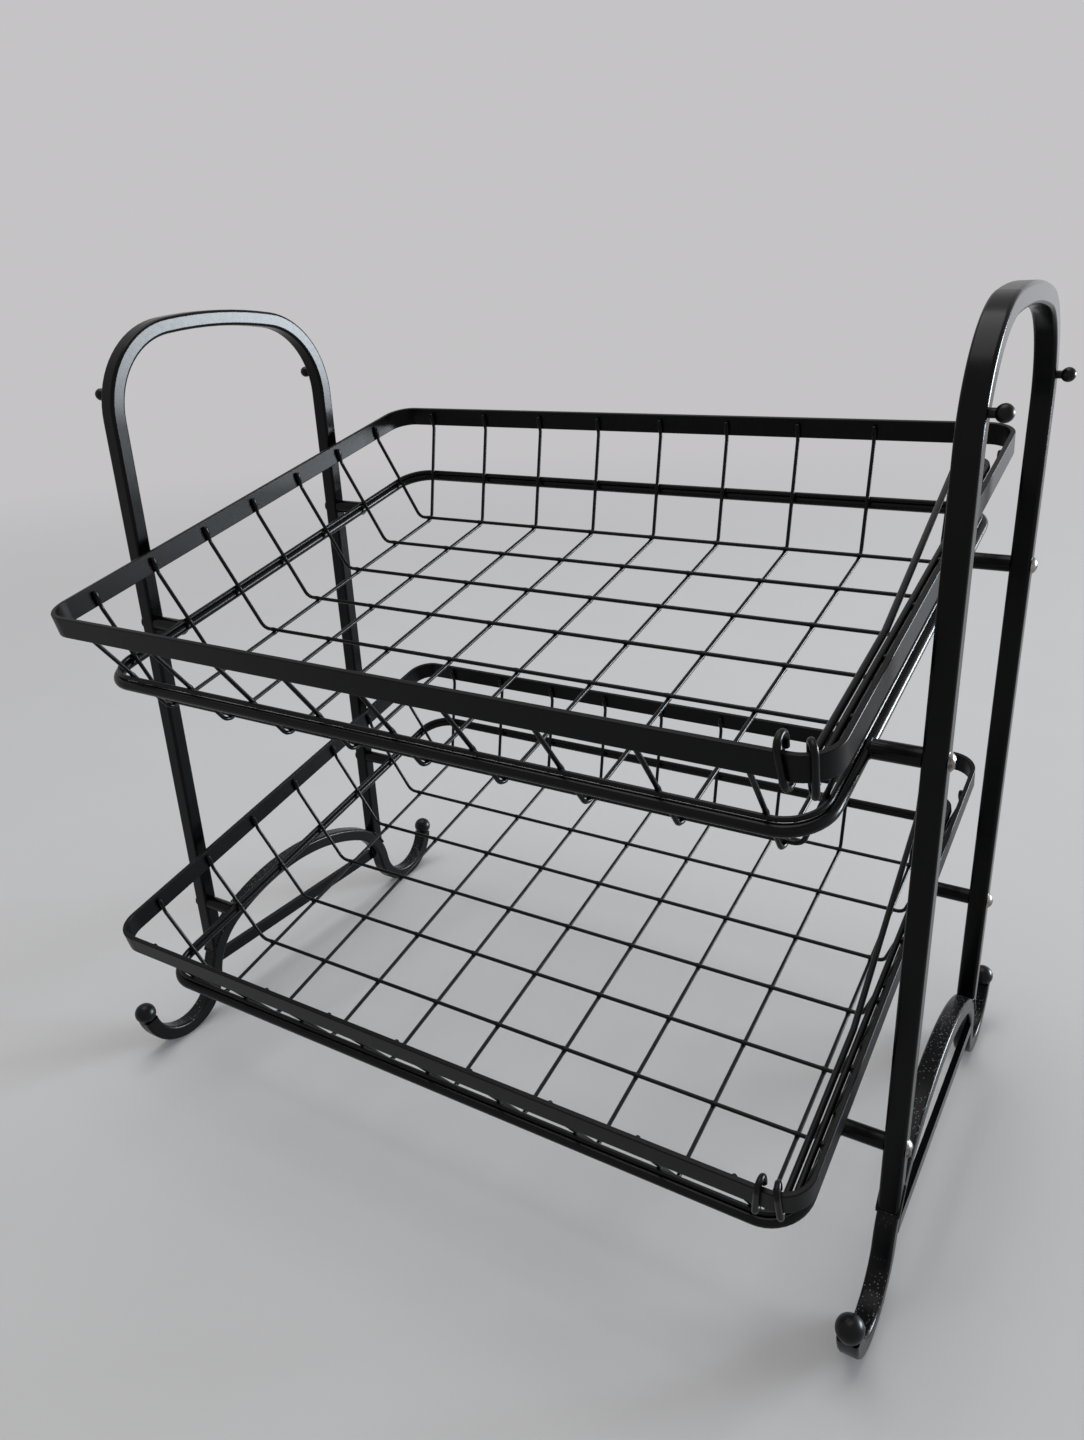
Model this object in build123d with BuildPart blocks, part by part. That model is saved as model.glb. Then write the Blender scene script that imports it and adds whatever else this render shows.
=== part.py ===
from build123d import *
import os
from math import acos, atan2, cos, degrees, hypot, radians, sin, sqrt, tan

# Two-tier wire basket. Millimetres, +Z up. The origin lies on the ground, midway between the two
# side frames and midway between the legs of each frame. -Y is the front, where the tiers dip.

# Side frames: a bar bent to a hoop, standing on a second bar that forms an arch and two J feet
frame_height = 400.0
frame_clearance = 10.4       # from the baskets' rims to each side frame
bar_width = 9.0              # bar size across the basket
bar_depth = 8.0              # bar size in the plane of the frame
bar_edge_radius = 1.5
leg_inset = 5.1              # leg centre inside the outermost point of the foot bar's haunch
shoulder_radius = 43.5       # centreline of the hoop's upper corners
crown_radius = 276.0         # centreline of the hoop's crowned top

arch_height = 69.1           # ground to the arch's centreline
arch_radius = 127.0
haunch_radius = 40.0         # the arch turns down into the foot with this centreline radius
foot_spacing = 206.0         # from centre to centre of the two J bends
foot_radius = 24.5           # centreline of the J bend
foot_end_angle = 10.0        # the J stops this many degrees below its centre's level

stretcher_height = 7.0
stretcher_thickness = 3.0
stretcher_drop = 11.4        # strip's lower edge under the point where the legs meet the foot bar

foot_ball_diameter = 11.5
foot_ball_rise = 4.5         # from the bar's end face to the ball's centre
stud_angle = 16.7            # place on the shoulder's arc, in degrees above its centre's level
stud_ball_diameter = 6.0
stud_reach = 4.5             # from the frame's outer face to the stud ball's centre
stud_neck_diameter = 3.2

# Tiers: a rod ring carried between the frames, tipped towards the front
tier_tilt = 13.5
lower_tier_level = 91.6      # ground to the middle of the ring
upper_tier_level = 264.3
ring_rod_diameter = 5.0
ring_outset = 1.4            # ring centreline outside the seat hoop's centreline

# Fasteners between a leg and a ring's side rod
screw_diameter = 4.0
screw_head_diameter = 8.0
screw_head_height = 2.2
screw_socket_width = 2.5     # across the flats of the hexagon socket
screw_socket_depth = 1.2
screw_engagement = 8.0       # length of shank inside the spacer
screw_hole_clearance = 0.15
spacer_diameter = 7.5
spacer_cope = 1.2            # depth to which a spacer's end is hollowed to sit on the rod

# Baskets
basket_depth = 62.8          # from the level where the floor wires cross to the rim's top
rim_length = 377.2
rim_width = 280.4
rim_height = 10.5
rim_thickness = 2.3
rim_corner_radius = 14.0
rim_edge_radius = 0.5
end_flare = 21.9             # how far the rim reaches out over the floor's corner at each end
side_flare = 26.4            # the same at the front and the rear
wire_diameter = 2.0
wire_bend_radius = 5.0       # centreline, where a wire turns up from the floor
long_wire_count = 7
long_wire_margin = 2.8       # from the floor's corner to the first wire
cross_wire_count = 9
cross_wire_margin = 6.7
wire_lap = 8.0               # length of wire end that lies flat against the rim band
seat_hoop_diameter = 2.2
seat_hoop_level = 25.2       # above the level where the floor wires cross
hoop_corner_radius = 16.0    # of the seat hoop

# Clips: small open wire rings round the rim band
clip_wire_diameter = 1.8
clip_bend_radius = 4.5
clip_leg_length = 15.0
clip_tail_length = 3.0
upper_clip_angles = (2.0, 43.0)     # places round the rim's front right corner
lower_clip_angles = (0.0, 30.0)

# End loops: a long loop of wire inside each rim's right end, its strands meeting near the clips
loop_wire_diameter = 2.8
loop_strand_gap = 0.45       # between the two strands at the front
loop_spread = 10.7           # how much farther apart the strands lie at the rear
loop_straight = 78.0         # length at the front over which the strands stay side by side
loop_length = 228.0          # from the strands' front ends to where the rear end closes
loop_nose = 26.0             # length of the tapered rear end
loop_bend_radius = 6.0

# Clearances
weld_gap = 0.05              # between pieces that are welded or pressed together
seat_gap = 0.3               # under a basket that rests in its ring

# Sizes worked out from the ones above
frame_inner = rim_length / 2 + frame_clearance
frame_outer = frame_inner + bar_width
frame_x = (frame_inner + frame_outer) / 2
foot_y = foot_spacing / 2
foot_z = foot_radius + bar_depth / 2
wire_radius = wire_diameter / 2
ring_radius = ring_rod_diameter / 2
seat_radius = seat_hoop_diameter / 2

# Grid of the basket's floor
floor_half_length = rim_length / 2 - end_flare
floor_half_width = rim_width / 2 - side_flare
long_wire_pitch = 2 * (floor_half_width - long_wire_margin) / (long_wire_count - 1)
cross_wire_pitch = 2 * (floor_half_length - cross_wire_margin) / (cross_wire_count - 1)

# The seat hoop lies on the ring's rod, a little inside the rod's crest
seat_rise = sqrt((ring_radius + seat_radius + seat_gap) ** 2 - ring_outset**2)
floor_drop = seat_hoop_level - seat_rise      # ring centre down to the wire-crossing level
rim_top = basket_depth - floor_drop
rim_bottom = rim_top - rim_height
lap_bottom = rim_bottom - wire_radius
lap_top = lap_bottom + wire_radius + wire_lap
long_wire_z = wire_radius + weld_gap / 2 - floor_drop
cross_wire_z = -wire_radius - weld_gap / 2 - floor_drop
rim_contact_x = rim_length / 2 - rim_thickness - wire_radius - weld_gap
rim_contact_y = rim_width / 2 - rim_thickness - wire_radius - weld_gap

# The end loop's outer strand lies against the ends of the long wires, under the clips' tails
loop_radius = loop_wire_diameter / 2
loop_z = rim_top - clip_tail_length - seat_gap - loop_radius
loop_x = rim_contact_x - wire_radius - weld_gap - loop_radius
loop_pitch = loop_wire_diameter + loop_strand_gap

# Places where the basket's sloping walls pass the seat hoop's level
hoop_pitch = wire_radius + seat_radius + weld_gap
end_slope = atan2(lap_bottom - long_wire_z, rim_contact_x - floor_half_length)
side_slope = atan2(lap_bottom - cross_wire_z, rim_contact_y - floor_half_width)
hoop_half_length = (
    floor_half_length + (seat_rise - long_wire_z) / tan(end_slope) + hoop_pitch / sin(end_slope)
)
hoop_half_width = (
    floor_half_width + (seat_rise - cross_wire_z) / tan(side_slope) + hoop_pitch / sin(side_slope)
)
ring_half_length = hoop_half_length + ring_outset
ring_half_width = hoop_half_width + ring_outset

sides = {"left": -1, "right": 1}
tiers = {"lower": lower_tier_level, "upper": upper_tier_level}
clip_angles = {"lower": lower_clip_angles, "upper": upper_clip_angles}

os.makedirs("parts", exist_ok=True)


def save(piece, name):
    """Label a finished piece and write it."""
    piece.label = name
    export_step(piece, f"parts/{name}.step")


def polar(centre, radius, angle):
    """Point at an angle, in degrees, on a circle in a sketch plane."""
    return (centre[0] + radius * cos(radians(angle)), centre[1] + radius * sin(radians(angle)))


def bar_section(path):
    """Plane square to the start of a bar's path, with the bar's width along X."""
    return Plane(origin=path @ 0, x_dir=(1, 0, 0), z_dir=path % 0)


# Centreline of the foot bar, in the frame's plane: crown arc, two haunch arcs and two J bends
crown_centre = (0.0, arch_height - arch_radius)
foot_centre = (foot_y, foot_z)
crown_to_foot = hypot(foot_centre[0] - crown_centre[0], foot_centre[1] - crown_centre[1])
crown_bearing = degrees(atan2(foot_centre[1] - crown_centre[1], foot_centre[0] - crown_centre[0]))
crown_to_haunch = arch_radius - haunch_radius
haunch_to_foot = haunch_radius + foot_radius
haunch_turn = acos(
    (crown_to_haunch**2 + crown_to_foot**2 - haunch_to_foot**2) / (2 * crown_to_haunch * crown_to_foot)
)
haunch_bearing = crown_bearing + degrees(haunch_turn)
haunch_centre = polar(crown_centre, crown_to_haunch, haunch_bearing)
foot_bearing = degrees(atan2(foot_centre[1] - haunch_centre[1], foot_centre[0] - haunch_centre[0]))


def foot_path(plane):
    """Centreline of one foot bar, from the front ball to the rear ball."""
    with BuildLine(plane) as path:
        CenterArc((-foot_y, foot_z), foot_radius, 180 + foot_end_angle, 180 - foot_bearing - foot_end_angle)
        CenterArc(
            (-haunch_centre[0], haunch_centre[1]), haunch_radius, 180 - foot_bearing, foot_bearing - haunch_bearing
        )
        CenterArc(crown_centre, arch_radius, 180 - haunch_bearing, 2 * haunch_bearing - 180)
        CenterArc(haunch_centre, haunch_radius, haunch_bearing, foot_bearing - haunch_bearing)
        CenterArc(foot_centre, foot_radius, 180 + foot_bearing, 180 - foot_bearing - foot_end_angle)
    return path.wire()


def foot_cutter(plane):
    """Space that the foot bar takes up, wider than the bar, for coping what is welded to it."""
    path = foot_path(plane)
    with BuildPart() as cutter:
        with BuildSketch(bar_section(path)):
            Rectangle(3 * bar_width, bar_depth + 2 * weld_gap)
        sweep(path=path)
    return cutter.part


# Centreline of the side hoop: the shoulder arcs run tangent into the legs and into the crown
crown_z = frame_height - bar_depth / 2 - crown_radius
leg_y = haunch_centre[0] + haunch_radius - leg_inset
shoulder_y = leg_y - shoulder_radius
shoulder_rise = sqrt((crown_radius - shoulder_radius) ** 2 - shoulder_y**2)
shoulder_z = crown_z + shoulder_rise
crown_start = degrees(atan2(shoulder_rise, shoulder_y))
leg_foot = haunch_centre[1] + sqrt(haunch_radius**2 - (haunch_radius - leg_inset) ** 2)
stud_y, stud_level = polar((shoulder_y, shoulder_z), shoulder_radius, stud_angle)


def hoop_path(plane):
    """Centreline of one side hoop: leg, shoulder, crown, shoulder, leg."""
    with BuildLine(plane) as path:
        Line((-leg_y, leg_foot), (-leg_y, shoulder_z))
        CenterArc((-shoulder_y, shoulder_z), shoulder_radius, 180, -crown_start)
        CenterArc((0, crown_z), crown_radius, 180 - crown_start, 2 * crown_start - 180)
        CenterArc((shoulder_y, shoulder_z), shoulder_radius, crown_start, -crown_start)
        Line((leg_y, shoulder_z), (leg_y, leg_foot))
    return path.wire()


def tier_plane(level, height=0.0):
    """Plane of a tier's ring, or one parallel to it, with its x along X."""
    tilt = radians(tier_tilt)
    ring = Plane(origin=(0, 0, level), x_dir=(1, 0, 0), z_dir=(0, -sin(tilt), cos(tilt)))
    return ring.offset(height)


def end_plane(ring):
    """Upright plane of a tier that contains X: its x is X and its y is the tier's up."""
    return Plane(origin=ring.origin, x_dir=ring.x_dir, z_dir=-ring.y_dir)


def side_plane(ring):
    """Upright plane of a tier that runs from front to back: its y is the tier's up."""
    return Plane(origin=ring.origin, x_dir=ring.y_dir, z_dir=ring.x_dir)


def outward_plane(side, distance):
    """Upright plane that faces away from the basket's middle, with its y up."""
    return Plane(origin=(side * distance, 0, 0), x_dir=(0, side, 0), z_dir=(side, 0, 0))


def screw_points(side, level):
    """Where a ring's side rod passes the two legs, as points of an outward plane."""
    rise = leg_y * tan(radians(tier_tilt))
    return [(-side * leg_y, level - rise), (side * leg_y, level + rise)]


def foot_bar(plane):
    """Arch and two J feet, bent from one bar."""
    path = foot_path(plane)
    with BuildPart() as bar:
        with BuildSketch(bar_section(path)):
            RectangleRounded(bar_width, bar_depth, bar_edge_radius)
        sweep(path=path)
    return bar.part


def side_hoop(side, cutter):
    """Legs and crowned top, bent from one bar, coped to the foot bar and drilled for the screws."""
    path = hoop_path(Plane.YZ.offset(side * frame_x))
    with BuildPart() as hoop:
        with BuildSketch(bar_section(path)):
            RectangleRounded(bar_width, bar_depth, bar_edge_radius)
        sweep(path=path)
        add(cutter, mode=Mode.SUBTRACT)
        for level in tiers.values():
            with BuildSketch(outward_plane(side, frame_outer)):
                with Locations(*screw_points(side, level)):
                    Circle(screw_diameter / 2 + screw_hole_clearance)
            extrude(amount=-bar_width, mode=Mode.SUBTRACT)
    return hoop.part


def stretcher(side, cutter):
    """Flat strip between the roots of the two legs, flush with the frame's outer face."""
    with BuildPart() as strip:
        with BuildSketch(outward_plane(side, frame_outer)):
            with Locations((0, leg_foot - stretcher_drop + stretcher_height / 2)):
                Rectangle(2 * leg_y + bar_depth, stretcher_height)
        extrude(amount=-stretcher_thickness)
        add(cutter, mode=Mode.SUBTRACT)
    return strip.part


def foot_balls(plane):
    """The two balls that end the J feet, each with a flat where it sits on the bar's end."""
    path = foot_path(plane)
    ends = (Plane(origin=path @ 0, z_dir=path % 0 * -1), Plane(origin=path @ 1, z_dir=path % 1))
    with BuildPart() as balls:
        for end in ends:
            with Locations(end.offset(foot_ball_rise)):
                Sphere(foot_ball_diameter / 2)
            with Locations(end.offset(weld_gap)):
                Box(
                    foot_ball_diameter,
                    foot_ball_diameter,
                    foot_ball_diameter,
                    align=(Align.CENTER, Align.CENTER, Align.MAX),
                    mode=Mode.SUBTRACT,
                )
    return balls.part


def ball_stud():
    """Small ball on a short neck that stands on Z = 0."""
    neck_radius = stud_neck_diameter / 2
    ball_radius = stud_ball_diameter / 2
    neck_top = stud_reach - sqrt(ball_radius**2 - neck_radius**2)
    with BuildPart() as piece:
        with BuildSketch(Plane.XZ):
            with BuildLine():
                Polyline((0, stud_reach + ball_radius), (0, 0), (neck_radius, 0), (neck_radius, neck_top))
                ThreePointArc(
                    (neck_radius, neck_top), (ball_radius, stud_reach), (0, stud_reach + ball_radius)
                )
            make_face()
        revolve(axis=Axis.Z)
    return piece.part


def on_face(piece, face, points):
    """Copies of a piece that stands on Z = 0, set on points of an outward plane."""
    with BuildPart() as group:
        for y, z in points:
            with Locations(face.shift_origin(face.from_local_coords((y, z, 0)))):
                add(piece)
    return group.part


def round_loop(plane, half_length, half_width, corner_radius, diameter):
    """Closed round-cornered loop of rod or wire."""
    with BuildSketch(plane) as outline:
        RectangleRounded(2 * half_length, 2 * half_width, corner_radius)
    path = outline.sketch.face().outer_wire()
    with BuildPart() as loop:
        with BuildSketch(Plane(origin=path @ 0, z_dir=path % 0)):
            Circle(diameter / 2)
        sweep(path=path)
    return loop.part


def spacers(level):
    """Four tubes from the legs' inner faces to a ring's side rods, with coped ends."""
    length = frame_inner - ring_half_length - ring_radius + spacer_cope
    ring = tier_plane(level)
    with BuildPart() as tubes:
        for side in sides.values():
            with BuildSketch(outward_plane(side, frame_inner - length)):
                with Locations(*screw_points(side, level)):
                    Circle(spacer_diameter / 2)
                    Circle(screw_diameter / 2 + weld_gap, mode=Mode.SUBTRACT)
            extrude(amount=length)
            with Locations(Plane(origin=(side * ring_half_length, 0, level), z_dir=ring.y_dir)):
                Cylinder(ring_radius + weld_gap, rim_width, mode=Mode.SUBTRACT)
    return tubes.part


def screw():
    """Dome-headed socket screw, its shank down and the underside of its head on Z = 0."""
    shank = bar_width + screw_engagement
    with BuildPart() as piece:
        with BuildSketch(Plane.XZ):
            with BuildLine():
                Polyline(
                    (0, screw_head_height),
                    (0, -shank),
                    (screw_diameter / 2, -shank),
                    (screw_diameter / 2, 0),
                    (screw_head_diameter / 2, 0),
                )
                RadiusArc(
                    (screw_head_diameter / 2, 0),
                    (0, screw_head_height),
                    -((screw_head_diameter / 2) ** 2 + screw_head_height**2) / (2 * screw_head_height),
                )
            make_face()
        revolve(axis=Axis.Z)
        with BuildSketch(Plane.XY.offset(screw_head_height)):
            RegularPolygon(screw_socket_width / 2, 6, major_radius=False)
        extrude(amount=-screw_socket_depth, mode=Mode.SUBTRACT)
    return piece.part


def screws(level):
    """Four screws through the legs into a ring's spacers."""
    with BuildPart() as group:
        for side in sides.values():
            add(on_face(screw(), outward_plane(side, frame_outer), screw_points(side, level)))
    return group.part


def rim_band(level):
    """Flat strip bent on edge to the basket's round-cornered rim."""
    with BuildPart() as band:
        with BuildSketch(tier_plane(level, rim_bottom)):
            RectangleRounded(rim_length, rim_width, rim_corner_radius)
            RectangleRounded(
                rim_length - 2 * rim_thickness,
                rim_width - 2 * rim_thickness,
                rim_corner_radius - rim_thickness,
                mode=Mode.SUBTRACT,
            )
        extrude(amount=rim_height)
        up = Axis((0, 0, level), tier_plane(level).z_dir)
        fillet(band.edges().filter_by(up, reverse=True), rim_edge_radius)
    return band.part


def bent_wire(plane, half_floor, half_top, floor_z):
    """Wire that crosses the floor, rises up both walls and lies against the rim band at its ends."""
    points = [(half_floor, floor_z), (half_top, lap_bottom), (half_top, lap_top)]
    with BuildPart() as wire:
        with BuildLine(plane) as path:
            FilletPolyline(*[(-u, v) for u, v in reversed(points)], *points, radius=wire_bend_radius)
        with BuildSketch(Plane(origin=path.line @ 0, z_dir=path.line % 0)):
            Circle(wire_radius)
        sweep(path=path.line)
    return wire.part


def rim_clips(level, angles):
    """Open wire rings round the rim band, their long legs flat against its outer face."""
    ring = tier_plane(level)
    corner = (rim_length / 2 - rim_corner_radius, rim_corner_radius - rim_width / 2, rim_top)
    leg = rim_corner_radius + weld_gap + clip_wire_diameter / 2
    bend = leg - clip_bend_radius
    limb = bend - clip_bend_radius
    with BuildPart() as clips:
        for angle in angles:
            outward = Vector(sin(radians(angle)), -cos(radians(angle)), 0)
            outward = ring.from_local_coords(outward) - ring.origin
            plane = Plane(
                origin=ring.from_local_coords(corner), x_dir=outward, z_dir=outward.cross(ring.z_dir)
            )
            with BuildLine(plane) as path:
                Line((limb, -clip_tail_length), (limb, 0))
                CenterArc((bend, 0), clip_bend_radius, 180, -180)
                Line((leg, 0), (leg, -clip_leg_length))
                CenterArc((bend, -clip_leg_length), clip_bend_radius, 0, -180)
                Line((limb, -clip_leg_length), (limb, clip_tail_length - clip_leg_length))
            with BuildSketch(Plane(origin=path.line @ 0, z_dir=path.line % 0)):
                Circle(clip_wire_diameter / 2)
            sweep(path=path.line)
    return clips.part


def strand_end(x):
    """Place along a strand of the end loop where it meets the inside of the rim's front corner."""
    reach = x + loop_radius - rim_length / 2 + rim_corner_radius
    inside = rim_corner_radius - rim_thickness - weld_gap
    return rim_corner_radius - rim_width / 2 - sqrt(inside**2 - reach**2)


def end_loop(level):
    """Loop of wire along the right end of a basket, its two front ends set against the rim."""
    outer_start = strand_end(loop_x)
    inner_start = strand_end(loop_x - loop_pitch)
    rear = outer_start + loop_length
    wide = loop_pitch + loop_spread
    with BuildPart() as loop:
        with BuildLine(tier_plane(level, loop_z)) as path:
            FilletPolyline(
                (loop_x, outer_start),
                (loop_x, rear),
                (loop_x - wide / 2, rear + loop_nose),
                (loop_x - wide, rear),
                (loop_x - loop_pitch, outer_start + loop_straight),
                (loop_x - loop_pitch, inner_start),
                radius=loop_bend_radius,
            )
        with BuildSketch(Plane(origin=path.line @ 0, z_dir=path.line % 0)):
            Circle(loop_radius)
        sweep(path=path.line)
    return loop.part


for name, side in sides.items():
    middle = Plane.YZ.offset(side * frame_x)
    cutter = foot_cutter(middle)
    save(foot_bar(middle), f"{name}_foot_bar")
    save(side_hoop(side, cutter), f"{name}_side_hoop")
    save(stretcher(side, cutter), f"{name}_stretcher")
    save(foot_balls(middle), f"{name}_foot_balls")
    save(
        on_face(
            ball_stud(), outward_plane(side, frame_outer), [(-stud_y, stud_level), (stud_y, stud_level)]
        ),
        f"{name}_ball_studs",
    )

for name, level in tiers.items():
    ring = tier_plane(level)
    save(
        round_loop(ring, ring_half_length, ring_half_width, hoop_corner_radius + ring_outset, ring_rod_diameter),
        f"{name}_carrier_ring",
    )
    save(spacers(level), f"{name}_spacers")
    save(screws(level), f"{name}_screws")
    save(rim_band(level), f"{name}_rim_band")
    save(
        round_loop(
            tier_plane(level, seat_rise), hoop_half_length, hoop_half_width, hoop_corner_radius, seat_hoop_diameter
        ),
        f"{name}_seat_hoop",
    )
    for index in range(long_wire_count):
        offset = (index - (long_wire_count - 1) / 2) * long_wire_pitch
        save(
            bent_wire(end_plane(ring).offset(-offset), floor_half_length, rim_contact_x, long_wire_z),
            f"{name}_long_wire_{index + 1}",
        )
    for index in range(cross_wire_count):
        offset = (index - (cross_wire_count - 1) / 2) * cross_wire_pitch
        save(
            bent_wire(side_plane(ring).offset(offset), floor_half_width, rim_contact_y, cross_wire_z),
            f"{name}_cross_wire_{index + 1}",
        )
    save(rim_clips(level, clip_angles[name]), f"{name}_rim_clips")
    save(end_loop(level), f"{name}_end_loop")
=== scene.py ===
from math import acos, cos, pi, radians, sin, sqrt, tan

import bmesh
import bpy
from mathutils import Matrix, Vector


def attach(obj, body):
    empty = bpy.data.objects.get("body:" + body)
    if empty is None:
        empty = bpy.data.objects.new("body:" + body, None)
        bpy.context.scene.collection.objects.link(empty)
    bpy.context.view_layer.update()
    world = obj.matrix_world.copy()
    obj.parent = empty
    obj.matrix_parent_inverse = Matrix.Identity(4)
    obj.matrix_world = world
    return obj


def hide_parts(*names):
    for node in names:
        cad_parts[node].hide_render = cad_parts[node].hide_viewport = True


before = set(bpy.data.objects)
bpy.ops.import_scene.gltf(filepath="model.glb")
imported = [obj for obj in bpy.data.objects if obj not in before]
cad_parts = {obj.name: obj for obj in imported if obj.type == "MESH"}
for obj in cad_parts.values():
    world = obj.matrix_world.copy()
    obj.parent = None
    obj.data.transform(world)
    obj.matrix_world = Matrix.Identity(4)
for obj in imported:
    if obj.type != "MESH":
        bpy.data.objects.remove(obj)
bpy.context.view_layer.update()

# Camera of the photograph, with its place and axes fitted to the four feet, the hoops and the rims
PHOTO_WIDTH = 1084
PHOTO_HEIGHT = 1440
FOCAL_PIXELS = 1053.46
OPTICAL_CENTRE = (567.13, 718.36)
CAMERA_PLACE = Vector((0.2684, -0.4239, 0.4016))
CAMERA_RIGHT = Vector((0.8593, 0.5102, -0.0361))
CAMERA_UP = Vector((-0.1624, 0.3391, 0.9266))
SENSOR = 36.0
CLIP_START = 0.01

# Tiers: how far they lean forwards, and the heights of their origins, which are their rings' centres
TIER_TILT = radians(13.5)
TIER_LEVELS = {"lower": 0.0916, "upper": 0.2643}

# Paths of a basket's wires, in its tier's axes
WIRE_RADIUS = 0.001
WIRE_BEND_RADIUS = 0.005
FLOOR_HALF_LENGTH = 0.1667
FLOOR_HALF_WIDTH = 0.1138
RIM_CONTACT_X = 0.18525
RIM_CONTACT_Y = 0.13685
LAP_BOTTOM = 0.029740
LAP_TOP = 0.038740
LONG_WIRE_HEIGHT = -0.020535
CROSS_WIRE_HEIGHT = -0.022585
LONG_WIRES = 7
LONG_WIRE_PITCH = 0.037
CROSS_WIRES = 9
CROSS_WIRE_PITCH = 0.040
HOOP_RISE = 0.003640

# Side frames: the planes of their bars, the roots of their legs and the strip between these
FRAME_INNER = 0.199
FRAME_OUTER = 0.208
LEG_Y = 0.073986
LEG_HALF = 0.004
HAUNCH_CENTRE = (0.039086, 0.019826)
HAUNCH_OUTER = 0.044
HAUNCH_INNER = 0.036
STRETCHER_LOW = 0.02797
STRETCHER_HEIGHT = 0.007
STRETCHER_THICKNESS = 0.003

# Rings and the spacers that carry them
RING_X = 0.179312
RING_RADIUS = 0.0025
SPACER_RADIUS = 0.00375
SPACER_END = 0.180612

# Clips round the rim's front right corner, whose bend is centred on CORNER_X and CORNER_Y
CORNER_X = 0.1746
CORNER_Y = 0.1262
RIM_CORNER = 0.01405
RIM_TOP = 0.04124
CLIP_RADIUS = 0.0013
CLIP_RISE = 0.0003
CLIP_TAIL = 0.003
CLIP_BEND_SHARE = 0.97         # share of half a clip's width that its bends take
CLIP_TURNS = {  # angle round the corner, place along the rim, slant, bend radius, drop below its top
    "lower": (
        (0, -0.0035, -0.0020, 0.0032, 0.0142),
        (radians(14), 0, 0.0008, 0.0030, 0.0132),
    ),
    "upper": (
        (0, -0.0035, 0.0025, 0.0043, 0.0142),
        (radians(31), 0, 0, 0.0031, 0.0162),
    ),
}

# Marks that the making leaves
LEG_BEAD = 0.00075             # radii of the weld beads
STRIP_BEAD = 0.0006
RING_BEAD = 0.00055
BEAD_STEP = 0.0011             # length of one drop of a bead
BEAD_RIPPLE = 0.25             # share of its radius that a bead loses between drops
WELD_SWELL = 0.00022           # how far a wire's skin bulges where it is welded
WELD_REACH = 0.0022            # half length of such a bulge
LAP_SWELL = 0.00045            # the same where a wire's end is pressed against the rim
LAP_REACH = 0.0042
LAP_END = 0.0030               # from the wire's end to the middle of that bulge
END_ROUND = 0.0005             # rounding of a cut wire end
END_DEPTHS = (0.0, 0.35, 1.0)  # stations of that rounding, as shares of its length
END_SHARES = (0.45, 0.86, 1.0)  # and the shares of the wire's radius there

# Fineness of the meshes
WIRE_STEP = 0.0008
WIRE_SIDES = 14
BEND_STEP = radians(11)
SEAM_STEP = 0.0004
BEAD_SIDES = 10
RING_BEAD_SIDES = 8
ROOT_PARTS = 12
SPACER_PARTS = 48

# Coats: the noises are given by scale, detail and roughness
MIX_FACTOR, MIX_A, MIX_B, MIX_RESULT = 0, 6, 7, 2  # sockets of a Mix node for colours
CLOUD_NOISE = (38.0, 4.0, 0.6)
CLOUD_SPAN = (0.35, 0.65)
GRAIN_NOISE = (420.0, 3.0, 0.65)
GRAIN_SPAN = (0.3, 0.7)
GLOSS_BELOW = 0.012            # how far the roughness goes below its middle and above it
GLOSS_ABOVE = 0.018
PEEL_DETAIL = 2.0
PEEL_ROUGHNESS = 0.5
PEEL_STRENGTH = 0.55
# Painted glints: small pale dots of painted highlight on the faces that look up, where light falls from
# above
GLINT_SCALE = 1050.0
GLINT_COLOUR = (0.34, 0.35, 0.37, 1)
GLINT_SPAN = (0.34, 0.22)      # distances from a cell's point between which its painted glint fades in
GLINT_CHOICE = (0.60, 0.62)    # cells above these values have a painted glint
GLINT_FACING = (0.25, 0.7)     # and only where a face looks up as far as this, as painted light from above

# Screws
PATCH_NOISE = (260.0, 4.0, 0.6)
PATCH_SPAN = (0.38, 0.66)
SCRATCH_NOISE = (1500.0, 2.0, 0.7)
SCRATCH_STRENGTH = 0.3
SCRATCH_DEPTH = 0.00004
STEEL_DARK = (0.07, 0.068, 0.066, 1)
STEEL_LIGHT = (0.34, 0.31, 0.28, 1)
STEEL_ROUGHNESS = (0.2, 0.42)

# Surroundings
BACKDROP = (0.56, 0.55, 0.56, 1)
WORLD_COLOUR = (0.92, 0.95, 1.0, 1)
WORLD_STRENGTH = 0.35
FLOOR_RADIUS = 9
FLOOR_SIDES = 96
FLOOR_NOISE = (9.0, 3.0, 0.5)
FLOOR_DARK = (0.60, 0.59, 0.585, 1)
FLOOR_LIGHT = (0.63, 0.62, 0.615, 1)
FLOOR_ROUGHNESS = 0.85
FLOOR_FADE = (0.45, 2.6)       # distances between which the floor passes into the backdrop


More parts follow.
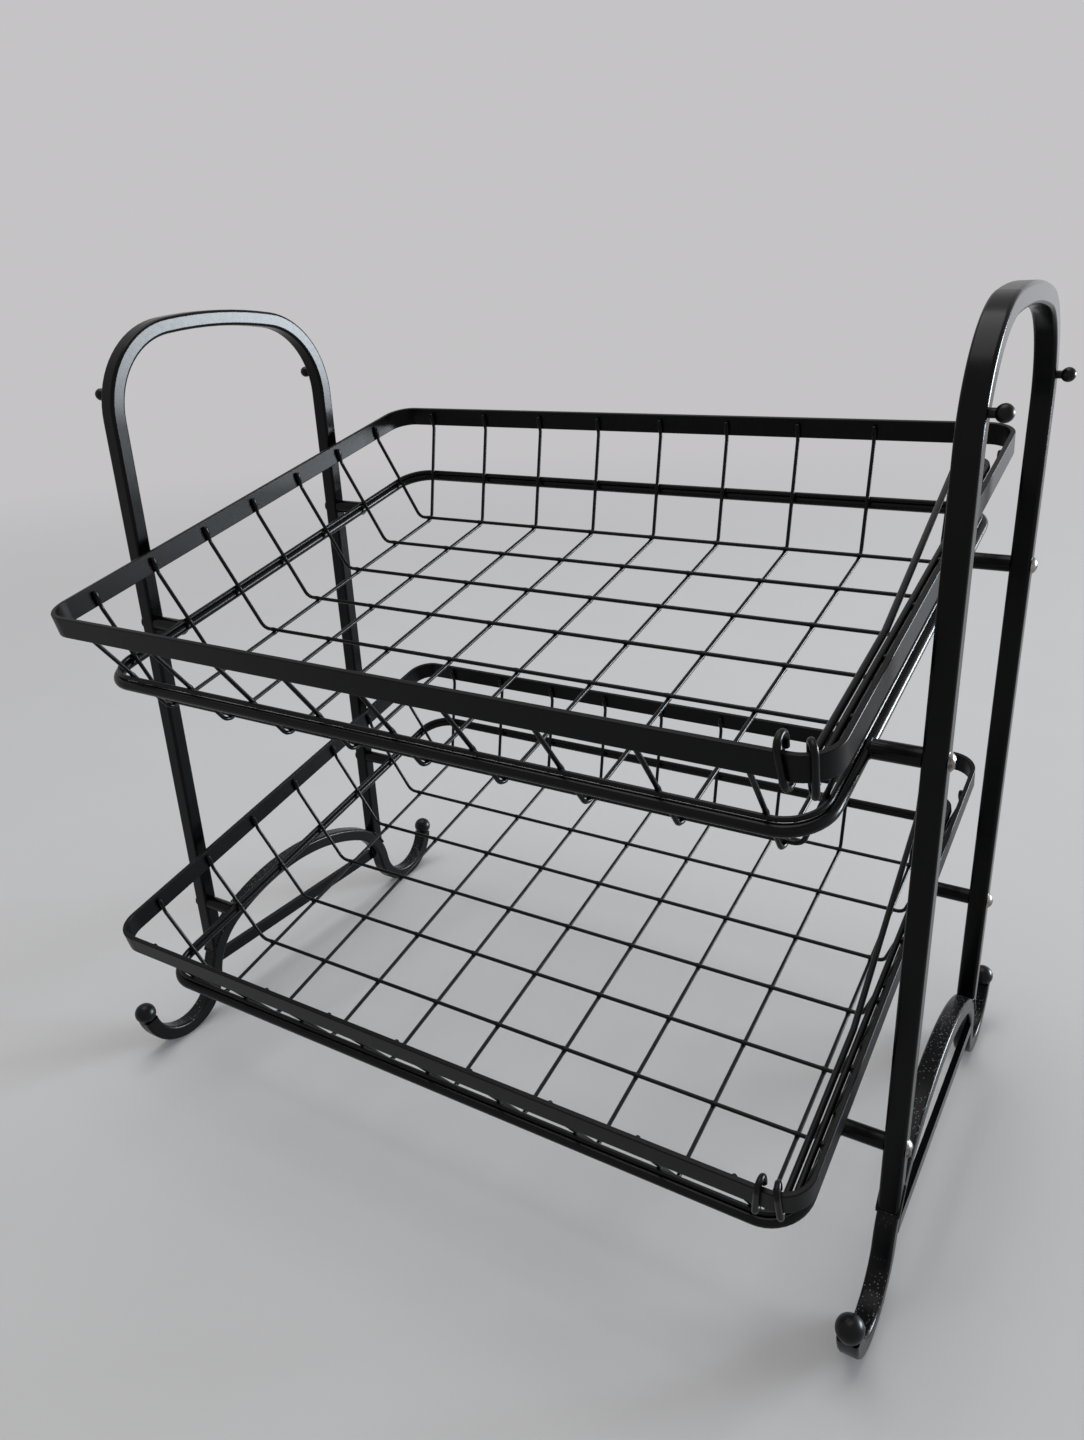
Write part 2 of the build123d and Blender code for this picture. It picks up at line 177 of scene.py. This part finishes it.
class Tree:
    """Node tree of a new material or world, with the calls that fill it."""

    def __init__(self, owner):
        owner.use_nodes = True
        self.tree = owner.node_tree
        self.tree.nodes.clear()
        self.link = self.tree.links.new

    def add(self, kind, **values):
        """Adds a node. Each value goes to the input of its name, or else to the node itself."""
        made = self.tree.nodes.new(kind)
        for key, value in values.items():
            if hasattr(made, key) and key not in made.inputs:
                setattr(made, key, value)
            else:
                made.inputs[key].default_value = value
        return made

    def noise(self, place, scale, detail, roughness):
        """Value of a noise texture."""
        made = self.add("ShaderNodeTexNoise", Scale=scale, Detail=detail, Roughness=roughness)
        self.link(place, made.inputs["Vector"])
        return made.outputs["Fac"]

    def remap(self, source, span, low=0.0, high=1.0, kind="LINEAR"):
        """A value moved from a span to the range between low and high."""
        made = self.add("ShaderNodeMapRange", interpolation_type=kind)
        made.inputs["From Min"].default_value = span[0]
        made.inputs["From Max"].default_value = span[1]
        made.inputs["To Min"].default_value = low
        made.inputs["To Max"].default_value = high
        self.link(source, made.inputs["Value"])
        return made.outputs["Result"]

    def product(self, first, second):
        """Product of two values."""
        made = self.add("ShaderNodeMath", operation="MULTIPLY")
        self.link(first, made.inputs[0])
        self.link(second, made.inputs[1])
        return made.outputs[0]

    def ramp(self, source, dark, light, span=(0.0, 1.0)):
        """Colour ramp over a span of a value."""
        made = self.add("ShaderNodeValToRGB")
        for element, position, colour in zip(made.color_ramp.elements, span, (dark, light)):
            element.position = position
            element.color = colour
        self.link(source, made.inputs["Fac"])
        return made.outputs["Color"]

    def surface(self, colour, roughness, height, bump_strength, bump_depth, **values):
        """Principled surface with a bump, joined to the material's output."""
        bump = self.add("ShaderNodeBump", Strength=bump_strength, Distance=bump_depth)
        self.link(height, bump.inputs["Height"])
        shader = self.add("ShaderNodeBsdfPrincipled", **values)
        self.link(colour, shader.inputs["Base Color"])
        self.link(roughness, shader.inputs["Roughness"])
        self.link(bump.outputs["Normal"], shader.inputs["Normal"])
        output = self.add("ShaderNodeOutputMaterial")
        self.link(shader.outputs["BSDF"], output.inputs["Surface"])


def painted_glints(tree, place, colour, amount):
    """A colour with small pale painted glints, painted highlights put only on the faces that look up,
    where light falls from above.
    """
    cells = tree.add("ShaderNodeTexVoronoi", Scale=GLINT_SCALE)
    tree.link(place, cells.inputs["Vector"])
    near = tree.remap(cells.outputs["Distance"], GLINT_SPAN)
    chosen = tree.remap(cells.outputs["Color"], GLINT_CHOICE)
    facing = tree.add("ShaderNodeSeparateXYZ")
    tree.link(tree.add("ShaderNodeNewGeometry").outputs["Normal"], facing.inputs[0])
    # painted highlight: the pale glints are kept to faces that look up, where light falls
    lit_faces = tree.remap(facing.outputs["Z"], GLINT_FACING, high=amount, kind="SMOOTHSTEP")
    mix = tree.add("ShaderNodeMix", data_type="RGBA")
    mix.inputs[MIX_B].default_value = GLINT_COLOUR
    tree.link(tree.product(tree.product(near, chosen), lit_faces), mix.inputs[MIX_FACTOR])
    tree.link(colour, mix.inputs[MIX_A])
    return mix.outputs[MIX_RESULT]


def coat(name, dark, light, roughness, level, peel_scale, peel_depth, glint_amount=0.0):
    """Powder coat on steel: uneven black, fine orange peel, mottled gloss, and, where asked, small pale
    painted glints (painted highlights) on the faces that look up.
    """
    material = bpy.data.materials.new(name)
    tree = Tree(material)
    place = tree.add("ShaderNodeTexCoord").outputs["Object"]
    mix = tree.add("ShaderNodeMix", data_type="RGBA")
    mix.inputs[MIX_A].default_value = (*dark, 1)
    mix.inputs[MIX_B].default_value = (*light, 1)
    tree.link(tree.remap(tree.noise(place, *CLOUD_NOISE), CLOUD_SPAN), mix.inputs[MIX_FACTOR])
    colour = mix.outputs[MIX_RESULT]
    # pale painted glints, painted highlights on the faces that look up
    if glint_amount:
        colour = painted_glints(tree, place, colour, glint_amount)
    grain = tree.noise(place, *GRAIN_NOISE)
    gloss = tree.remap(grain, GRAIN_SPAN, roughness - GLOSS_BELOW, roughness + GLOSS_ABOVE)
    peel = tree.noise(place, peel_scale, PEEL_DETAIL, PEEL_ROUGHNESS)
    level = {"Specular IOR Level": level}
    tree.surface(colour, gloss, peel, PEEL_STRENGTH, peel_depth, **level)
    return material


def turned_steel(name):
    """Blackened screw head: a dark metal with fine scratches and warm, polished patches."""
    material = bpy.data.materials.new(name)
    tree = Tree(material)
    place = tree.add("ShaderNodeTexCoord").outputs["Object"]
    colour = tree.ramp(tree.noise(place, *PATCH_NOISE), STEEL_DARK, STEEL_LIGHT, PATCH_SPAN)
    scratch = tree.noise(place, *SCRATCH_NOISE)
    gloss = tree.remap(scratch, (0.0, 1.0), *STEEL_ROUGHNESS)
    tree.surface(colour, gloss, scratch, SCRATCH_STRENGTH, SCRATCH_DEPTH, Metallic=1.0)
    return material


BAR_COAT = coat(
    "bar_coat",
    dark=(0.0014, 0.0016, 0.0019),
    light=(0.0029, 0.0031, 0.0037),
    roughness=0.22,
    level=0.13,
    peel_scale=700.0,
    peel_depth=0.000005,
)
ROD_COAT = coat(
    "rod_coat",
    dark=(0.0013, 0.0015, 0.0018),
    light=(0.0027, 0.0029, 0.0035),
    roughness=0.27,
    level=0.16,
    peel_scale=700.0,
    peel_depth=0.000002,
)
ARCH_COAT = coat(
    "arch_coat",
    dark=(0.0015, 0.0017, 0.0020),
    light=(0.0031, 0.0033, 0.0039),
    roughness=0.28,
    level=0.15,
    peel_scale=760.0,
    peel_depth=0.00002,
    # pale painted glints, painted highlights on the arch's upward faces
    glint_amount=0.6,
)
RIM_COAT = coat(
    "rim_coat",
    dark=(0.0014, 0.0016, 0.0019),
    light=(0.0029, 0.0031, 0.0037),
    roughness=0.35,
    level=0.13,
    peel_scale=800.0,
    peel_depth=0.000003,
)
WIRE_COAT = coat(
    "wire_coat",
    dark=(0.0012, 0.0014, 0.0017),
    light=(0.0025, 0.0027, 0.0032),
    roughness=0.30,
    level=0.16,
    peel_scale=1100.0,
    peel_depth=0.0000015,
)
BALL_COAT = coat(
    "ball_coat",
    dark=(0.0016, 0.0018, 0.0021),
    light=(0.0034, 0.0037, 0.0044),
    roughness=0.32,
    level=0.2,
    peel_scale=1000.0,
    peel_depth=0.000005,
)
SCREW_STEEL = turned_steel("screw_steel")

# Material of a CAD node by a word in its name. The others are wires.
NODE_MATERIALS = (
    ("screws", SCREW_STEEL),
    ("foot_bar", ARCH_COAT),
    ("balls", BALL_COAT),
    ("studs", BALL_COAT),
    ("rim_band", RIM_COAT),
    ("side_hoop", BAR_COAT),
    ("stretcher", BAR_COAT),
    ("spacers", BAR_COAT),
    ("carrier_ring", ROD_COAT),
)


def paint(piece, material):
    """Gives a piece one material."""
    piece.data.materials.clear()
    piece.data.materials.append(material)


for node_name, node_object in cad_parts.items():
    found = [material for word, material in NODE_MATERIALS if word in node_name]
    paint(node_object, found[0] if found else WIRE_COAT)


def tier_axes(tier):
    """Origin, side axis, depth axis and up axis of a tier."""
    origin = Vector((0, 0, TIER_LEVELS[tier]))
    depth = Vector((0, cos(TIER_TILT), sin(TIER_TILT)))
    up = Vector((0, -sin(TIER_TILT), cos(TIER_TILT)))
    return origin, Vector((1, 0, 0)), depth, up


def rounded_path(points, radius):
    """Points along a polyline whose corners are rounded by arcs."""
    path = [points[0]]

    def run_to(target):
        start = path[-1]
        count = max(1, round((target - start).length / WIRE_STEP))
        for k in range(1, count + 1):
            path.append(start.lerp(target, k / count))

    for before, corner, after in zip(points, points[1:], points[2:]):
        inward = (before - corner).normalized()
        outward = (after - corner).normalized()
        half_angle = inward.angle(outward) / 2
        reach = radius / tan(half_angle)
        centre = corner + (inward + outward).normalized() * radius / sin(half_angle)
        run_to(corner + inward * reach)
        first = path[-1] - centre
        turn = pi - 2 * half_angle
        axis = first.cross(corner + outward * reach - centre).normalized()
        count = max(2, round(turn / BEND_STEP))
        for k in range(1, count + 1):
            path.append(centre + Matrix.Rotation(turn * k / count, 3, axis) @ first)
    run_to(points[-1])
    return path


def add_tube(mesh, path, radius_at, sides=WIRE_SIDES):
    """Adds a round bar with rounded ends. radius_at gives its radius by the distance along it."""
    first = (path[1] - path[0]).normalized()
    last = (path[-1] - path[-2]).normalized()
    inner = path[1:-1]
    places = [path[0] + first * END_ROUND * depth for depth in END_DEPTHS]
    places += inner
    places += [path[-1] - last * END_ROUND * depth for depth in reversed(END_DEPTHS)]
    shares = [*END_SHARES, *(1.0 for _ in inner), *reversed(END_SHARES)]
    turns = [2 * pi * j / sides for j in range(sides)]
    rings = []
    along = 0.0
    across = first.orthogonal().normalized()
    for k, (place, share) in enumerate(zip(places, shares)):
        before = places[max(k - 1, 0)]
        ahead = (places[min(k + 1, len(places) - 1)] - before).normalized()
        across = (across - ahead * across.dot(ahead)).normalized()
        other = ahead.cross(across)
        along += (place - before).length
        size = radius_at(along) * share
        rings.append([mesh.verts.new(place + (across * cos(t) + other * sin(t)) * size) for t in turns])
    for a, b in zip(rings, rings[1:]):
        for j in range(sides):
            mesh.faces.new((a[j], a[(j + 1) % sides], b[(j + 1) % sides], b[j]))
    mesh.faces.new(list(reversed(rings[0])))
    mesh.faces.new(rings[-1])


def finish_piece(name, mesh, material):
    """Turns a mesh under work into a painted object, smooth apart from its end caps."""
    bmesh.ops.recalc_face_normals(mesh, faces=mesh.faces)
    data = bpy.data.meshes.new(name)
    mesh.to_mesh(data)
    mesh.free()
    for face in data.polygons:
        face.use_smooth = len(face.vertices) == 4
    piece = bpy.data.objects.new(name, data)
    bpy.context.scene.collection.objects.link(piece)
    paint(piece, material)
    return piece


def swell(welds, laps):
    """Radius of a wire by the distance along it, thicker at its welds and at its pressed ends."""

    def bulge(along, places, reach):
        nearest = min(abs(along - place) for place in places)
        return 0.5 + 0.5 * cos(pi * min(nearest / reach, 1))

    def radius_at(along):
        weld = WELD_SWELL * bulge(along, welds, WELD_REACH)
        return WIRE_RADIUS + max(weld, LAP_SWELL * bulge(along, laps, LAP_REACH))

    return radius_at


def basket_wire(tier, name, offset, is_long, crossings):
    """One wire of a basket: across the floor, up both walls and flat against the rim band."""
    origin, side, depth, up = tier_axes(tier)
    run, stack = (side, depth) if is_long else (depth, side)
    half_floor = FLOOR_HALF_LENGTH if is_long else FLOOR_HALF_WIDTH
    half_top = RIM_CONTACT_X if is_long else RIM_CONTACT_Y
    floor = LONG_WIRE_HEIGHT if is_long else CROSS_WIRE_HEIGHT
    half = [(half_floor, floor), (half_top, LAP_BOTTOM), (half_top, LAP_TOP)]
    outline = [(-u, v) for u, v in reversed(half)] + half
    points = [origin + run * u + stack * offset + up * v for u, v in outline]
    path = rounded_path(points, WIRE_BEND_RADIUS)

    travelled = [0.0]
    for a, b in zip(path, path[1:]):
        travelled.append(travelled[-1] + (b - a).length)
    places = [((p - origin).dot(run), (p - origin).dot(up)) for p in path]

    def nearest(misses):
        """Distance along the path to the point with the smallest miss."""
        return min(zip(misses, travelled))[1]

    welds = [nearest(abs(u - crossing) for u, _ in places) for crossing in crossings]
    for end in (-1, 1):
        welds.append(nearest(abs(v - HOOP_RISE) if u * end > 0 else 1.0 for u, v in places))
    laps = (LAP_END, travelled[-1] - LAP_END)

    mesh = bmesh.new()
    add_tube(mesh, path, swell(welds, laps))
    piece = finish_piece(name + "_bent", mesh, WIRE_COAT)
    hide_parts(name)
    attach(piece, f"{tier}_basket")


def wound_clips(tier):
    """The two turns of stout wire round the rim's front right corner."""
    origin, side, depth, up = tier_axes(tier)
    corner = origin + side * CORNER_X - depth * CORNER_Y
    outer = RIM_CORNER + CLIP_RADIUS
    mesh = bmesh.new()
    for angle, place, slant, bend, drop in CLIP_TURNS[tier]:
        outward = side * sin(angle) - depth * cos(angle)
        along = side * cos(angle) + depth * sin(angle)
        inner = outer - 2 * bend
        top = RIM_TOP + bend + CLIP_RISE
        low = RIM_TOP - drop
        outline = (
            (inner, RIM_TOP - CLIP_TAIL, place),
            (inner, top, place),
            (outer, top, place),
            (outer, low, place + slant),
            (inner, low, place + slant),
            (inner, low + bend + CLIP_TAIL, place + slant),
        )
        points = [corner + outward * u + up * v + along * shift for u, v, shift in outline]
        path = rounded_path(points, bend * CLIP_BEND_SHARE)
        add_tube(mesh, path, lambda distance: CLIP_RADIUS)
    piece = finish_piece(f"{tier}_rim_clips_wound", mesh, WIRE_COAT)
    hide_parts(f"{tier}_rim_clips")
    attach(piece, f"{tier}_basket")


def rippled(radius):
    """Radius of a weld bead by the distance along it: a row of overlapping drops."""

    def radius_at(along):
        return radius * (1 - BEAD_RIPPLE * (0.5 + 0.5 * cos(2 * pi * along / BEAD_STEP)))

    return radius_at


def closed(points):
    """Points of a closed run that end where they start."""
    path = []
    for a, b in zip(points, points[1:] + points[:1]):
        count = max(1, round((b - a).length / SEAM_STEP))
        path += [a.lerp(b, k / count) for k in range(count)]
    return path + [path[0]]


def leg_welds(name, side):
    """Beads round the roots of a side frame's two legs and at the ends of its stretcher."""
    mesh = bmesh.new()
    centre_y, centre_z = HAUNCH_CENTRE
    start, end = [acos((y - centre_y) / HAUNCH_OUTER) for y in (LEG_Y - LEG_HALF, LEG_Y + LEG_HALF)]
    turns = [start + (end - start) * k / ROOT_PARTS for k in range(ROOT_PARTS + 1)]
    root = [(centre_y + HAUNCH_OUTER * cos(t), centre_z + HAUNCH_OUTER * sin(t)) for t in turns]
    levels = [STRETCHER_LOW + STRETCHER_HEIGHT * k / ROOT_PARTS for k in range(ROOT_PARTS + 1)]
    strip = [(centre_y + sqrt(HAUNCH_INNER**2 - (z - centre_z) ** 2), z) for z in levels]
    strip_x = side * (FRAME_OUTER - STRETCHER_THICKNESS)
    for front in (-1, 1):
        seam = [Vector((side * FRAME_OUTER, front * y, z)) for y, z in root]
        seam += [Vector((side * FRAME_INNER, front * y, z)) for y, z in reversed(root)]
        add_tube(mesh, closed(seam), rippled(LEG_BEAD), BEAD_SIDES)
        bead = [Vector((strip_x, front * y, z)) for y, z in strip]
        add_tube(mesh, bead, rippled(STRIP_BEAD), BEAD_SIDES)
    piece = finish_piece(name, mesh, ARCH_COAT)
    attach(piece, "stand")


def ring_welds(name, tier):
    """Beads where a tier's four spacers meet the rod of its ring."""
    mesh = bmesh.new()
    origin, _, depth, up = tier_axes(tier)
    for side in (-1, 1):
        for front in (-1, 1):
            middle = origin + depth * (front * LEG_Y / cos(TIER_TILT))
            seam = []
            for k in range(SPACER_PARTS):
                turn = 2 * pi * k / SPACER_PARTS
                radial = Vector((0, cos(turn), sin(turn))) * SPACER_RADIUS
                beside = min(abs(radial.dot(up)), RING_RADIUS)
                reach = max(RING_X + sqrt(RING_RADIUS**2 - beside**2), SPACER_END)
                seam.append(middle + radial + Vector((side * reach, 0, 0)))
            add_tube(mesh, closed(seam), rippled(RING_BEAD), RING_BEAD_SIDES)
    piece = finish_piece(name, mesh, BAR_COAT)
    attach(piece, "stand")


long_places = [(k - (LONG_WIRES - 1) / 2) * LONG_WIRE_PITCH for k in range(LONG_WIRES)]
cross_places = [(k - (CROSS_WIRES - 1) / 2) * CROSS_WIRE_PITCH for k in range(CROSS_WIRES)]
for tier in TIER_LEVELS:
    for k, place in enumerate(long_places):
        basket_wire(tier, f"{tier}_long_wire_{k + 1}", place, True, cross_places)
    for k, place in enumerate(cross_places):
        basket_wire(tier, f"{tier}_cross_wire_{k + 1}", place, False, long_places)
for tier in TIER_LEVELS:
    wound_clips(tier)
leg_welds("left_leg_welds", -1)
leg_welds("right_leg_welds", 1)
for tier in TIER_LEVELS:
    ring_welds(f"{tier}_ring_welds", tier)


def pale_floor():
    """Plain matt floor, wide enough to reach the horizon, that passes into the backdrop."""
    mesh = bmesh.new()
    turns = [2 * pi * k / FLOOR_SIDES for k in range(FLOOR_SIDES)]
    mesh.faces.new([mesh.verts.new((FLOOR_RADIUS * cos(t), FLOOR_RADIUS * sin(t), 0)) for t in turns])
    data = bpy.data.meshes.new("floor")
    mesh.to_mesh(data)
    mesh.free()
    piece = bpy.data.objects.new("floor", data)
    bpy.context.scene.collection.objects.link(piece)

    material = bpy.data.materials.new("floor_paint")
    tree = Tree(material)
    place = tree.add("ShaderNodeTexCoord").outputs["Object"]
    shader = tree.add("ShaderNodeBsdfPrincipled", Roughness=FLOOR_ROUGHNESS)
    mottle = tree.noise(place, *FLOOR_NOISE)
    tree.link(tree.ramp(mottle, FLOOR_DARK, FLOOR_LIGHT), shader.inputs["Base Color"])
    far = tree.add("ShaderNodeVectorMath", operation="LENGTH")
    tree.link(place, far.inputs[0])
    backdrop = tree.add("ShaderNodeEmission", Color=BACKDROP)
    mix = tree.add("ShaderNodeMixShader")
    tree.link(tree.remap(far.outputs["Value"], FLOOR_FADE, kind="SMOOTHSTEP"), mix.inputs[0])
    tree.link(shader.outputs["BSDF"], mix.inputs[1])
    tree.link(backdrop.outputs["Emission"], mix.inputs[2])
    output = tree.add("ShaderNodeOutputMaterial")
    tree.link(mix.outputs["Shader"], output.inputs["Surface"])
    paint(piece, material)


def pale_world():
    """Soft even light, and the pale backdrop that the camera and the glossy coats see."""
    world = bpy.data.worlds.new("studio")
    bpy.context.scene.world = world
    tree = Tree(world)
    light = tree.add("ShaderNodeBackground", Color=WORLD_COLOUR, Strength=WORLD_STRENGTH)
    seen = tree.add("ShaderNodeBackground", Color=BACKDROP, Strength=1.0)
    rays = tree.add("ShaderNodeLightPath")
    first = tree.add("ShaderNodeMath", operation="ADD")
    tree.link(rays.outputs["Is Camera Ray"], first.inputs[0])
    tree.link(rays.outputs["Is Glossy Ray"], first.inputs[1])
    second = tree.add("ShaderNodeMath", operation="ADD", use_clamp=True)
    tree.link(first.outputs[0], second.inputs[0])
    tree.link(rays.outputs["Is Transmission Ray"], second.inputs[1])
    mix = tree.add("ShaderNodeMixShader")
    tree.link(second.outputs[0], mix.inputs[0])
    tree.link(light.outputs[0], mix.inputs[1])
    tree.link(seen.outputs[0], mix.inputs[2])
    output = tree.add("ShaderNodeOutputWorld")
    tree.link(mix.outputs[0], output.inputs["Surface"])


def area_light(name, place, target, size, power, colour):
    """Soft rectangular lamp that faces a target and stays out of the camera's sight."""
    data = bpy.data.lights.new(name, "AREA")
    data.shape = "RECTANGLE"
    data.size, data.size_y = size
    data.energy = power
    data.color = colour
    lamp = bpy.data.objects.new(name, data)
    lamp.location = place
    lamp.rotation_mode = "QUATERNION"
    lamp.rotation_quaternion = (Vector(target) - Vector(place)).to_track_quat("-Z", "Y")
    lamp.visible_camera = False
    bpy.context.scene.collection.objects.link(lamp)


def photo_camera():
    """Camera at the photograph's place, with its optical centre."""
    data = bpy.data.cameras.new("camera")
    data.sensor_width = SENSOR
    data.lens = FOCAL_PIXELS / PHOTO_HEIGHT * SENSOR
    data.shift_x = (PHOTO_WIDTH / 2 - OPTICAL_CENTRE[0]) / PHOTO_HEIGHT
    data.shift_y = (OPTICAL_CENTRE[1] - PHOTO_HEIGHT / 2) / PHOTO_HEIGHT
    data.clip_start = CLIP_START
    camera = bpy.data.objects.new("camera", data)
    right = CAMERA_RIGHT.normalized()
    up = (CAMERA_UP - right * CAMERA_UP.dot(right)).normalized()
    turn = Matrix((right, up, right.cross(up))).transposed()
    camera.rotation_mode = "QUATERNION"
    camera.rotation_quaternion = turn.to_quaternion()
    camera.location = CAMERA_PLACE
    bpy.context.scene.collection.objects.link(camera)
    bpy.context.scene.camera = camera


pale_floor()
pale_world()
photo_camera()
area_light(
    "window",
    place=(3.4, 3.35, 0.52),
    target=(0.0, 0.0, 0.35),
    size=(2.0, 1.0),
    power=360.0,
    colour=(0.85, 0.93, 1.0),
)
area_light(
    "rear",
    place=(1.3, 4.3, 0.85),
    target=(0.0, 0.0, 0.3),
    size=(3.0, 1.6),
    power=8.0,
    colour=(0.90, 0.95, 1.0),
)
area_light(
    "ceiling",
    place=(-0.3, 0.1, 2.4),
    target=(0.0, 0.0, 0.2),
    size=(1.8, 1.8),
    power=26.0,
    colour=(1.0, 0.99, 0.97),
)

bpy.context.scene.view_settings.view_transform = "Standard"
